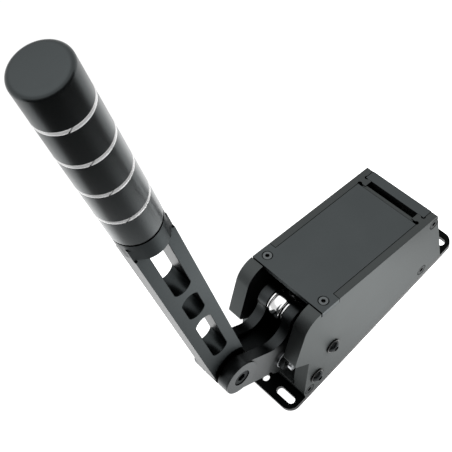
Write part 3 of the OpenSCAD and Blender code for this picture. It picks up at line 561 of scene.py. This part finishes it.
def make_lever():
    """The milled lever: its windows have a broad chamfer on both faces."""
    bm = merged_copy("lever")
    bar_middle = grip_measures()[0].translation.x

    def in_windows(point):
        return abs(point.x - bar_middle) < WINDOW_HALF and WINDOWS_FROM < point.z < WINDOWS_TO

    def on_rim(vert):
        return in_windows(vert.co) and abs(abs(vert.co.y) - BAR_HALF) < FACE_WITHIN

    def is_outer_corner(edge):
        middle = (edge.verts[0].co + edge.verts[1].co) / 2
        sharp = edge.is_manifold and edge.calc_face_angle() > EDGE_ANGLE
        return sharp and not in_windows(middle)

    rims = [edge for edge in bm.edges if all(on_rim(vert) for vert in edge.verts)]
    corners = [edge for edge in bm.edges if is_outer_corner(edge)]
    cuts = ((corners, LEVER_EDGE, EDGE_SEGMENTS), (rims, WINDOW_CHAMFER, 1))
    for edges, offset, segments in cuts:
        bmesh.ops.bevel(
            bm,
            geom=[edge for edge in edges if edge.is_valid],
            offset=offset,
            offset_type="OFFSET",
            segments=segments,
            profile=0.5,
            affect="EDGES",
            clamp_overlap=True,
            material=-1,
        )
    keep_corners(bm, MILLED_CORNER)
    even_shading(add_piece("lever_milled", bm, "lever", ["lever"]))


HEAD_STEPS = 48
HEAD_CHAMFER = 0.45 * MM
HEAD_SINK = 0.15 * MM
HEAD_GAP = 0.35 * MM
SOCKET_SHARE = 0.42
SOCKET_DEPTH = 2.0 * MM
SOCKET_LEAD_IN = 0.25 * MM


def loose_parts(node):
    """The points of each separate solid of a CAD node."""
    bm = bmesh.new()
    bm.from_mesh(nodes[node].data)
    bmesh.ops.remove_doubles(bm, verts=bm.verts, dist=WELD_WITHIN)
    left = set(bm.verts)
    parts = []
    while left:
        front = [left.pop()]
        part = []
        while front:
            vert = front.pop()
            part.append(vert.co.copy())
            for edge in vert.link_edges:
                other = edge.other_vert(vert)
                if other in left:
                    left.remove(other)
                    front.append(other)
        parts.append(part)
    bm.free()
    return parts


def add_screw(bm, place, head_radius, thread_radius, length):
    """A countersunk screw whose face is at the height 0 of place, with a hexagon socket."""
    cone = head_radius - thread_radius
    outline = [
        (0, -length),
        (thread_radius, -length),
        (thread_radius, -HEAD_CHAMFER - cone),
        (head_radius, -HEAD_CHAMFER),
        (head_radius - HEAD_CHAMFER, 0),
    ]
    before = set(bm.verts)
    lathe(bm, outline, Matrix(), closed=False, steps=HEAD_STEPS)
    rim = [edge for edge in bm.edges if edge.is_boundary]
    socket = head_radius * SOCKET_SHARE
    mouth = bmesh.ops.create_circle(bm, segments=6, radius=socket + SOCKET_LEAD_IN)["verts"]
    loop = list({edge for vert in mouth for edge in vert.link_edges})
    bmesh.ops.bridge_loops(bm, edges=rim + loop)
    narrower = socket / (socket + SOCKET_LEAD_IN)
    for scale, drop in ((narrower, SOCKET_LEAD_IN), (1, SOCKET_DEPTH - SOCKET_LEAD_IN)):
        extruded = bmesh.ops.extrude_edge_only(bm, edges=loop)["geom"]
        ring = [part for part in extruded if isinstance(part, bmesh.types.BMVert)]
        loop = [part for part in extruded if isinstance(part, bmesh.types.BMEdge)]
        bmesh.ops.scale(bm, vec=(scale, scale, 1), verts=ring)
        bmesh.ops.translate(bm, vec=(0, 0, -drop), verts=ring)
    bmesh.ops.contextual_create(bm, geom=loop)
    made = [vert for vert in bm.verts if vert not in before]
    bmesh.ops.transform(bm, matrix=place, verts=made)
    bmesh.ops.recalc_face_normals(bm, faces=bm.faces)


def make_screws(node, thread_radius, axis_of):
    """Detailed countersunk screws in the places of a CAD node's plain ones."""
    bm = bmesh.new()
    for part in loose_parts(node):
        middle = sum(part, Vector()) / len(part)
        turn = axis_of(middle).to_track_quat("Z", "Y").to_matrix().to_4x4()
        local = [turn.inverted() @ point for point in part]
        low = [min(point[i] for point in local) for i in range(3)]
        high = [max(point[i] for point in local) for i in range(3)]
        centre = Vector(((low[0] + high[0]) / 2, (low[1] + high[1]) / 2, high[2] - HEAD_SINK))
        head_radius = (high[0] - low[0]) / 2 - HEAD_GAP
        length = high[2] - low[2] - HEAD_SINK
        add_screw(bm, turn @ Matrix.Translation(centre), head_radius, thread_radius, length)
    keep_corners(bm, SCREW_CORNER)
    add_piece(node + "_socketed", bm, node, [node])


SIDE_THREAD = 2.5 * MM
COVER_THREAD = 2 * MM
BASE_THREAD = 2.5 * MM


def outwards(middle):
    return Vector((0, math.copysign(1, middle.y), 0))


def upwards(middle):
    return TOP_NORMAL


def downwards(middle):
    return Vector((0, 0, -1))


ROD_END_HALF = 4.9 * MM
ROD_END_EDGE = 10.0 * MM
ROD_END_CROWN = 11.1 * MM
ROD_END_OVERLAP = 1 * MM
CROWN_STEPS = 5
# Along the rod from its pin: where the pads start and end, and how much of that length they keep
PADS_AT = 58.7 * MM
PAD_LENGTH = 10.6 * MM
PAD_STEP = 12.5 * MM
PAD_COUNT = 3
PAD_BORE = 5.2 * MM
PAD_EDGE = 12.4 * MM
PAD_CROWN = 13.8 * MM
PAD_STEPS = 12


def rod_pin_centre():
    low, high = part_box("rod_end_bolt")
    return Vector(((low[0] + high[0]) / 2, 0, (low[2] + high[2]) / 2))


def make_rod_end_crown():
    """The rod end's rim is crowned, not flat, and mirrors the light in a curve."""
    inside = ROD_END_EDGE - ROD_END_OVERLAP
    outline = [(inside, -ROD_END_HALF)]
    for k in range(-CROWN_STEPS, CROWN_STEPS + 1):
        share = k / CROWN_STEPS
        crown = ROD_END_EDGE + (ROD_END_CROWN - ROD_END_EDGE) * math.sqrt(1 - share**2)
        outline.append((crown, ROD_END_HALF * share))
    outline.append((inside, ROD_END_HALF))
    bm = bmesh.new()
    place = Matrix.Translation(rod_pin_centre()) @ Matrix.Rotation(math.radians(-90), 4, "X")
    lathe(bm, outline, place)
    keep_corners(bm, CAST_CORNER)
    add_piece("rod_end_crown", bm, "rod_end")


def make_pads():
    """Three cast pads that bulge between their washers."""
    along = Vector((-math.cos(SLOPE), 0, -math.sin(SLOPE)))
    turn = along.to_track_quat("Z", "Y").to_matrix().to_4x4()
    place = Matrix.Translation(rod_pin_centre()) @ turn
    bm = bmesh.new()
    for pad in range(PAD_COUNT):
        start = PADS_AT + pad * PAD_STEP
        outline = [(PAD_BORE, start)]
        for k in range(PAD_STEPS + 1):
            share = k / PAD_STEPS
            bulge = PAD_EDGE + (PAD_CROWN - PAD_EDGE) * math.sin(math.pi * share)
            outline.append((bulge, start + PAD_LENGTH * share))
        outline.append((PAD_BORE, start + PAD_LENGTH))
        lathe(bm, outline, place)
    keep_corners(bm, CAST_CORNER)
    pads = add_piece("pads_cast", bm, "elastomer_pads", ["elastomer_pads"])
    # They sit on the rod, which tilts, and its end washer presses them towards the load cell
    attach(pads, body_of["pull_rod"])
    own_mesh(pads)


# The light table is white, with brighter lamps under it: beside the side plate, in front of the
# lever, and behind the handle. Each has a centre, a bright core, an outer edge and a brightness.
TABLE_WHITE = 1.05
TABLE_Z = -0.2 * MM
TABLE_SIDE = 8.0
LAMPS = {
    "side": ((-25 * MM, 138 * MM, 0.0), 15 * MM, 190 * MM, 3.4),
    "front": ((190 * MM, -150 * MM, 0.0), 60 * MM, 190 * MM, 1.3),
    "rear": ((-140 * MM, -110 * MM, 0.0), 60 * MM, 200 * MM, 0.9),
}
# A black card lies on the table round the handle's foot and stands up behind the camera. The
# camera doesn't see it, but it keeps the middle of the handle dark, as a photographer's flag does.
FLAG_CENTRE = Vector((118, 0, 1)) * MM
FLAG_INNER = 214 * MM
FLAG_OUTER = 520 * MM
FLAG_HEIGHT = 430 * MM
FLAG_FROM = -12.0
FLAG_SWEEP = 168.0
FLAG_STEPS = 30


def lamp_glow(tree, place, centre, core, edge, brightness):
    """The light of one lamp under the table, by the distance from its centre."""
    offset = add_node(tree, "VectorMath", {"operation": "DISTANCE"})
    tree.links.new(place, offset.inputs[0])
    offset.inputs[1].default_value = centre
    return add_node(
        tree,
        "MapRange",
        {"interpolation_type": "SMOOTHSTEP"},
        Value=offset.outputs["Value"],
        From_Min=core,
        From_Max=edge,
        To_Min=brightness,
        To_Max=0.0,
    ).outputs[0]


def make_floor():
    bpy.ops.mesh.primitive_plane_add(size=TABLE_SIDE, location=(0, 0, TABLE_Z))
    floor = bpy.context.object
    floor.name = "floor"
    material, tree, place = new_material("light_table")
    glow = None
    for centre, core, edge, brightness in LAMPS.values():
        lamp = lamp_glow(tree, place, centre, core, edge, brightness)
        total = add_node(tree, "Math", {"operation": "ADD"})
        tree.links.new(lamp, total.inputs[0])
        if glow is None:
            total.inputs[1].default_value = TABLE_WHITE
        else:
            tree.links.new(glow, total.inputs[1])
        glow = total.outputs[0]
    shader = add_node(tree, "Emission", Strength=glow)
    floor.data.materials.append(finish_material(material, tree, shader))


def make_flag():
    """The black card, a broad arc that only reflections see."""
    outline = [(FLAG_INNER, 0), (FLAG_OUTER, 0), (FLAG_OUTER, FLAG_HEIGHT)]
    place = Matrix.Translation(FLAG_CENTRE)
    bm = bmesh.new()
    lathe(bm, outline, place, False, FLAG_STEPS, FLAG_FROM, FLAG_SWEEP)
    mesh = bpy.data.meshes.new("flag")
    bm.to_mesh(mesh)
    bm.free()
    flag = bpy.data.objects.new("flag", mesh)
    bpy.context.scene.collection.objects.link(flag)
    material, tree = new_material("black_card")[:2]
    shader = add_node(tree, "BsdfDiffuse", Color=linear("#484848"))
    mesh.materials.append(finish_material(material, tree, shader))
    flag.visible_camera = False


# The sky is a soft overhead light: brighter above, a little dimmer near the horizon
SKY_LOW = (0.5, 0.78)
SKY_HIGH = (0.74, 1.28)


def make_studio():
    world = bpy.data.worlds.new("studio")
    bpy.context.scene.world = world
    world.use_nodes = True
    tree = world.node_tree
    direction = add_node(tree, "TexCoord").outputs["Generated"]
    height = add_node(tree, "SeparateXYZ", Vector=direction).outputs["Z"]
    light = add_node(
        tree,
        "MapRange",
        {"interpolation_type": "SMOOTHSTEP"},
        Value=height,
        From_Min=SKY_LOW[0],
        From_Max=SKY_HIGH[0],
        To_Min=SKY_LOW[1],
        To_Max=SKY_HIGH[1],
    )
    sky = tree.nodes["Background"]
    sky.inputs["Color"].default_value = (1, 1, 1, 1)
    tree.links.new(light.outputs[0], sky.inputs["Strength"])
    bpy.context.scene.view_settings.view_transform = "Standard"


dress_nodes()
finish_edges()
make_grip()
make_grip_rings()
make_lever()
make_screws("side_screws", SIDE_THREAD, outwards)
make_screws("cover_screws", COVER_THREAD, upwards)
make_screws("base_screws", BASE_THREAD, downwards)
make_rod_end_crown()
make_pads()
make_camera()
make_floor()
make_flag()
make_studio()
